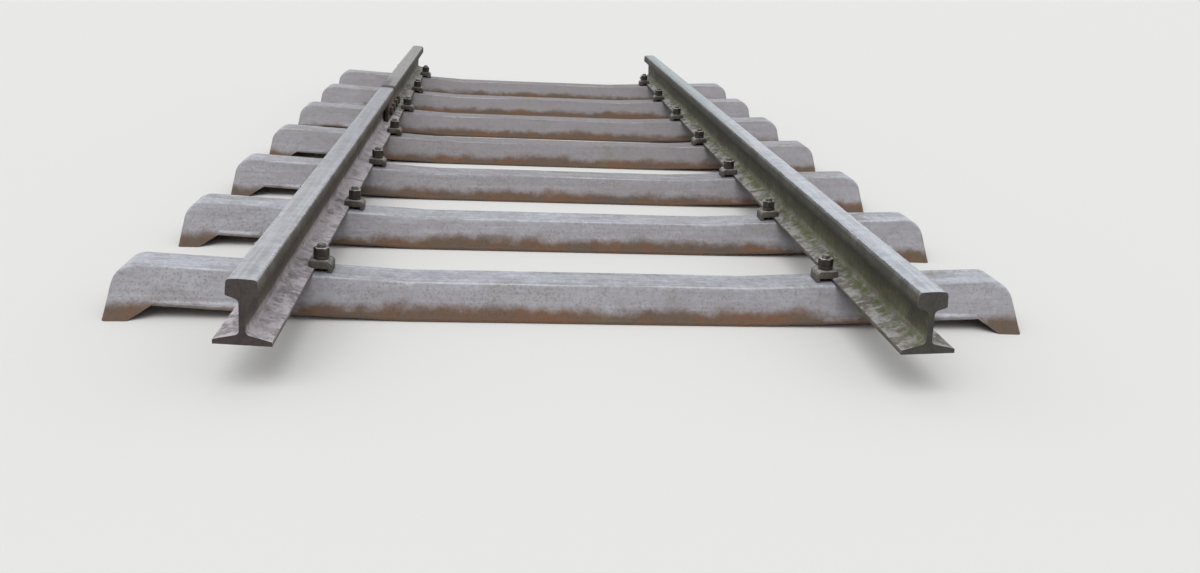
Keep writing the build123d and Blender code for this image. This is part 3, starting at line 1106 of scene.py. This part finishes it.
def railSection():
    # The outline in X and Z, its corners rounded and its top crowned.
    halfHead, halfWeb, halfFoot = rail["headWidth"] / 2, rail["web"] / 2, rail["foot"] / 2
    headBottom = railTop - rail["headSide"]
    webTop = headBottom - (halfHead + rail["headFlare"] - halfWeb) * rail["headSlope"]
    webBottom = rail["footEdge"] + (halfFoot - halfWeb) * rail["footSlope"]
    corners = [
        (halfFoot, 0, 0),
        (halfFoot, rail["footEdge"], rail["smallRadius"]),
        (halfWeb, webBottom, rail["webRadius"]),
        (halfWeb, webTop, rail["webRadius"]),
        (halfHead + rail["headFlare"], headBottom, rail["smallRadius"]),
        (halfHead, railTop, rail["topRadius"]),
    ]
    bm = bmesh.new()
    outline = corners + [(-x, z, radius) for x, z, radius in reversed(corners)]
    verts = [bm.verts.new((x, 0, z)) for x, z, radius in outline]
    bm.faces.new(verts)
    for vert, (x, z, radius) in zip(verts, outline):
        if radius:
            roundCorner(bm, vert, radius)
    for edge in bm.edges[:]:
        cuts = int(edge.calc_length() / rail["across"])
        if cuts:
            bmesh.ops.subdivide_edges(bm, edges=[edge], cuts=cuts)
    for vert in bm.verts:
        if vert.co.z > railTop - rail["headSide"] / 2:
            vert.co.z -= rail["crown"] - math.sqrt(rail["crown"] ** 2 - vert.co.x**2)
    return bm


def drawnRail(length):
    # The section drawn out in long bays, each then cut into short ones.
    bm = railSection()
    bays = round(length / rail["along"] / (rail["cuts"] + 1))
    bmesh.ops.contextual_create(bm, geom=draw(bm, bm.edges[:], (0, length / bays, 0), bays))
    lengthwise = [edge for edge in bm.edges if abs(edge.verts[0].co.y - edge.verts[1].co.y) > rail["along"]]
    bmesh.ops.subdivide_edges(bm, edges=lengthwise, cuts=rail["cuts"], use_grid_fill=True)
    bmesh.ops.recalc_face_normals(bm, faces=bm.faces)
    bm.normal_update()
    return bm


def railLoss(point, seed):
    # How deep the rust has gone at a point of the rail, in its own axes.
    if point.z < rail["untouched"]:
        return 0.0
    x, z = abs(point.x), point.z
    coarse = noise.fractal(noisePlace(point, rail["coarse"], (0, 0, seed)), *rail["fractal"])
    fine = noise.noise(noisePlace(point, rail["fine"], (0, 0, seed)))
    coarseShare, fineShare, even = rail["share"]
    bite = max(0.0, coarse * coarseShare + fine * fineShare + even)
    topOut, topDown = rail["topCorner"]
    headOut, headReach = rail["headCorner"]
    topCorner = x > topOut and z > railTop - topDown
    headCorner = x > headOut and abs(z - railTop + rail["headSide"]) < headReach
    if topCorner or headCorner or x > rail["foot"] / 2 - rail["footCorner"]:
        return rail["flake"] * min(1.0, bite)
    if z > railTop - rail["topSkin"]:
        everywhere, skinShare = rail["runningLoss"]
        return everywhere + rail["skin"] * skinShare * min(1.0, bite)
    return rail["skin"] * min(1.0, bite * rail["skinSpread"])


def makeRail(name, node, seed):
    low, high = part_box(node)
    length = high.y - low.y
    side = railFinishes[nodeFinish[node]]["side"]
    jointEnd = track["jointY"] - low.y if side < 0 else math.inf
    bm = drawnRail(length)
    losses = [railLoss(vert.co, seed) for vert in bm.verts]
    normals = [vert.normal.copy() for vert in bm.verts]
    for vert, loss, normal in zip(bm.verts, losses, normals):
        normal.y = max(-rail["slant"], min(rail["slant"], normal.y))
        near = max(0.0, 1 - abs(vert.co.y - jointEnd) / rail["batterLength"])
        if vert.co.z > railTop - rail["topCorner"][1]:
            loss += rail["batter"] * near**2
        vert.co -= normal * loss
        vert.co.y = min(max(vert.co.y, 0.0), length)
    leaning = Matrix.Rotation(-side * lean, 4, "Y")
    place = Matrix.Translation((side * track["railX"], low.y, track["seatZ"]))
    bmesh.ops.transform(bm, matrix=place @ leaning, verts=bm.verts)
    print(name, "made with", len(bm.verts), "points")
    placePiece(bm, name, [node], rail["smoothTo"])


makeRail("rightRail", "right_rail", seed=3.1)
makeRail("leftRailFront", "left_rail_front", seed=17.7)
makeRail("leftRailRear", "left_rail_rear", seed=41.3)


# Sleepers.
sleeper = {
    "along": 0.017,  # the greatest step along the sleeper
    "across": 0.016,
    "up": 0.016,
    "snap": 0.0002,  # a cut this near a corner goes through it
    "merge": 0.00005,
    "dent": 0.0011,
    "dentShare": 0.35,  # added to the noise, so that more of the steel is dented
    "waver": 0.0006,
    "waverShare": 0.3,
    "gnaw": 0.0022,  # rust's bite at the lower edges
    "gnawHeight": 0.022,
    "level": 0.95,  # faces as level as this aren't gnawed
    "untouched": 0.0005,  # up to here, and as near a rail as this, little is lost
    "nearRail": 0.14,
    "nearShare": 0.15,
    "broad": (3.2, 7, 7),  # scales of the noise along X, Y and Z
    "close": (26, 30, 30),
    "edge": (60, 60, 40),
    "dentFractal": (0.7, 2.2, 3),
    "gnawFractal": (0.6, 2.1, 3),
    "seedStep": 7.3,
    "smoothTo": 32,
}


def slices(bm, low, high, step, axis):
    # Cuts square to one axis, about a step apart.
    count = max(1, round((high - low) / step))
    normal = Vector([1 if index == axis else 0 for index in range(3)])
    for number in range(1, count):
        bisect(bm, normal * (low + (high - low) * number / count), normal, sleeper["snap"])


def makeSleeperBlank():
    # The first sleeper's shell, moved to Y 0 and cut finely enough to be dented.
    bm = copyOfNode("sleeper_1")
    bmesh.ops.translate(bm, vec=(0, -sleeperPlace(1), 0), verts=bm.verts)
    low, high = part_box("sleeper_1")
    slices(bm, low.y - sleeperPlace(1), high.y - sleeperPlace(1), sleeper["across"], axis=1)
    slices(bm, low.z, high.z, sleeper["up"], axis=2)
    slices(bm, low.x, high.x, sleeper["along"], axis=0)
    bmesh.ops.remove_doubles(bm, verts=bm.verts, dist=sleeper["merge"])
    return asMesh(bm, "sleeperBlank")


def sleeperLoss(point, normal, seed):
    # Dents and waves everywhere, gnawed lower edges, and hardly any loss under the rails.
    broad = noise.noise(noisePlace(point, sleeper["broad"], (seed, 0, 0)))
    close = noise.fractal(noisePlace(point, sleeper["close"], (0, seed, 0)), *sleeper["dentFractal"])
    dent = sleeper["dent"] * max(0.0, broad + sleeper["dentShare"])
    loss = dent + sleeper["waver"] * max(0.0, close + sleeper["waverShare"])
    if point.z < sleeper["gnawHeight"] and abs(normal.z) < sleeper["level"]:
        bite = noise.fractal(noisePlace(point, sleeper["edge"], (0, seed, 0)), *sleeper["gnawFractal"])
        loss += sleeper["gnaw"] * max(0.0, bite) * (1 - point.z / sleeper["gnawHeight"])
    if point.z < sleeper["untouched"] or abs(abs(point.x) - track["railX"]) < sleeper["nearRail"]:
        loss *= sleeper["nearShare"]
    return loss


def makeSleeper(blank, number):
    bm = bmesh.new()
    bm.from_mesh(blank)
    bm.normal_update()
    seed = number * sleeper["seedStep"]
    moves = [vert.normal * sleeperLoss(vert.co, vert.normal, seed) for vert in bm.verts]
    for vert, move in zip(bm.verts, moves):
        vert.co -= move
        vert.co.z = max(vert.co.z, 0.0)
    bmesh.ops.translate(bm, vec=(0, sleeperPlace(number), 0), verts=bm.verts)
    node = f"sleeper_{number}"
    placePiece(bm, f"{node}_pressed", [node], sleeper["smoothTo"])


sleeperBlank = makeSleeperBlank()
for number in range(1, track["sleepers"] + 1):
    makeSleeper(sleeperBlank, number)
print("sleepers made,", len(sleeperBlank.polygons), "faces each")


# Fastenings.
bolt = {
    "radius": 0.012,
    "root": 0.0103,
    "threadPitch": 0.003,
    "crest": (0.44, 0.56),  # where it starts and ends in one pitch
    "threadStart": 0.056,  # above the rail seat, inside the nut
    "spareTeeth": 3,  # cut off at the thread's ends
    "endInset": 0.00048,  # how far the thread's end lies inside its root
    "endSlope": 0.9,
    "headTop": -0.010,
    "headHeight": 0.015,
    "headWidth": 0.024,
    "headLength": 0.046,
    "headCorner": 0.004,
    "headEdge": 0.0012,
    "headSharp": 50,  # degrees from which an edge of the head is worn round
    "steps": 28,  # in one turn
    "overlap": 0.001,  # how far a bolt's parts run into each other
    "merge": 0.00003,
    "threadSnap": 0.000002,
    "headSnap": 0.00001,
}
washer = {
    "inner": 0.0131,
    "outer": 0.0199,
    "height": 0.0064,
    "rise": 0.0015,
    "slitAngle": 9,
    "steps": 40,
    "corner": 0.0009,
}
wornEdge = {
    "clamp": 0.0014,
    "nut": 0.0007,
    "fishplate": 0.0012,
    "jointNut": 0.0012,
    "jointBolt": 0.0006,
    "sharp": 40,  # degrees from which an edge is worn round
    "smoothTo": 40,
}


def addThread(bm, low, high):
    # A zigzag turned once round while it climbs one pitch, then cut square at both ends.
    pitch = bolt["threadPitch"]
    start = low - bolt["spareTeeth"] / 2 * pitch
    strip = bmesh.new()
    verts = []
    for tooth in range(math.ceil((high - low) / pitch) + bolt["spareTeeth"]):
        base = start + tooth * pitch
        verts.append(strip.verts.new((bolt["root"], 0, base)))
        for share in bolt["crest"]:
            verts.append(strip.verts.new((bolt["radius"], 0, base + pitch * share)))
    edges = [strip.edges.new(pair) for pair in zip(verts, verts[1:])]
    draw(strip, edges, (0, 0, pitch / bolt["steps"]), bolt["steps"], 2 * math.pi)
    bmesh.ops.remove_doubles(strip, verts=strip.verts, dist=bolt["merge"])
    for level, direction in ((low, -1), (high, 1)):
        rim = bisect(strip, (0, 0, level), (0, 0, direction), bolt["threadSnap"], clear=True)
        bmesh.ops.contextual_create(strip, geom=rim)
    for vert in strip.verts:
        limit = bolt["root"] - bolt["endInset"] + max(0.0, high - vert.co.z) * bolt["endSlope"]
        reach = math.hypot(vert.co.x, vert.co.y)
        if reach > limit:
            vert.co.x *= limit / reach
            vert.co.y *= limit / reach
    addPart(bm, strip)


def addShank(bm, low, high):
    bmesh.ops.create_cone(
        bm,
        cap_ends=True,
        segments=bolt["steps"],
        radius1=bolt["radius"],
        radius2=bolt["radius"],
        depth=high - low,
        matrix=Matrix.Translation((0, 0, (high + low) / 2)),
    )


def makeHookBolt():
    bm = bmesh.new()
    size = Vector((bolt["headWidth"], bolt["headLength"], bolt["headHeight"]))
    middle = Vector((0, 0, bolt["headTop"] - bolt["headHeight"] / 2))
    bmesh.ops.create_cube(bm, size=1, matrix=Matrix.LocRotScale(middle, None, size))
    halfway = bolt["headHeight"] / 2
    upright = [edge for edge in bm.edges if abs(edge.verts[0].co.z - edge.verts[1].co.z) > halfway]
    bevel(bm, upright, bolt["headCorner"], segments=4)
    bevel(bm, sharpEdges(bm, bolt["headSharp"]), bolt["headEdge"])
    addShank(bm, bolt["headTop"] - 2 * bolt["overlap"], bolt["threadStart"])
    addThread(bm, bolt["threadStart"] - bolt["overlap"], track["boltEnd"])
    return asMesh(bm, "hookBolt")


def makeSpringWasher():
    bm = bmesh.new()
    inner, outer = washer["inner"], washer["outer"]
    low, high = track["clampTop"], track["clampTop"] + washer["height"]
    corners = [(inner, low), (outer, low), (outer, high), (inner, high)]
    face = bm.faces.new([bm.verts.new((x, 0, z)) for x, z in corners])
    bevel(bm, face.verts[:], washer["corner"], 2, "VERTICES")
    turn = Matrix.Rotation(math.radians(washer["slitAngle"] / 2 - 90), 3, "Z")
    bmesh.ops.rotate(bm, cent=(0, 0, 0), matrix=turn, verts=bm.verts)
    step = (0, 0, washer["rise"] / washer["steps"])
    last = draw(bm, bm.edges[:], step, washer["steps"], math.radians(360 - washer["slitAngle"]))
    bmesh.ops.contextual_create(bm, geom=last)
    return asMesh(bm, "springWasher")


def jointMatrix(y):
    # A joint bolt's own axes: X along the rail, Z outward through the web, Z 0 in its middle.
    along = Vector((0, 1, 0))
    outward = Vector((-math.cos(lean), 0, math.sin(lean)))
    upward = Vector((math.sin(lean), 0, math.cos(lean)))
    place = Vector((-track["railX"], y, track["seatZ"])) + upward * track["jointBoltZ"]
    axes = Matrix((along, outward.cross(along), outward)).transposed().to_4x4()
    return Matrix.Translation(place) @ axes


def makeFishplateBolts():
    # The node's own heads, with new shanks and threads behind them.
    matrices = [jointMatrix(track["jointY"] + place) for place in track["jointBolts"]]
    heads = copyOfNode("fishplate_bolts")
    behind = matrices[0] @ Vector((0, 0, bolt["overlap"] - track["plateFar"]))
    outward = matrices[0].to_3x3() @ Vector((0, 0, 1))
    rims = bisect(heads, behind, outward, bolt["headSnap"], clear=True)
    bmesh.ops.edgeloop_fill(heads, edges=rims)
    bevel(heads, sharpEdges(heads, wornEdge["sharp"]), wornEdge["jointBolt"])
    single = bmesh.new()
    addShank(single, -track["plateFar"], track["plateFar"] + 2 * bolt["overlap"])
    addThread(single, track["plateFar"] + bolt["overlap"], track["jointBoltEnd"])
    addPart(heads, repeated(asMesh(single, "jointBolt"), matrices))
    placePiece(heads, "fishplateBolts", ["fishplate_bolts"])


def softenNode(node, name, width):
    # The node's own shape with its sharp edges worn round.
    bm = copyOfNode(node)
    bevel(bm, sharpEdges(bm, wornEdge["sharp"]), width)
    placePiece(bm, name, [node], wornEdge["smoothTo"])


hookBolt, springWasher = makeHookBolt(), makeSpringWasher()
for number in range(1, track["sleepers"] + 1):
    bolts = repeated(hookBolt, boltMatrices(number))
    placePiece(bolts, f"hookBolts_{number}", [f"hook_bolts_{number}"])
    washers = repeated(springWasher, boltMatrices(number, turning=True))
    placePiece(washers, f"springWashers_{number}", [f"spring_washers_{number}"])
    softenNode(f"clamp_plates_{number}", f"clampPlates_{number}", wornEdge["clamp"])
    softenNode(f"nuts_{number}", f"nuts_{number}_worn", wornEdge["nut"])
softenNode("outer_fishplate", "outerFishplate", wornEdge["fishplate"])
softenNode("inner_fishplate", "innerFishplate", wornEdge["fishplate"])
softenNode("fishplate_nuts", "fishplateNuts", wornEdge["jointNut"])
makeFishplateBolts()
print("fastenings made")
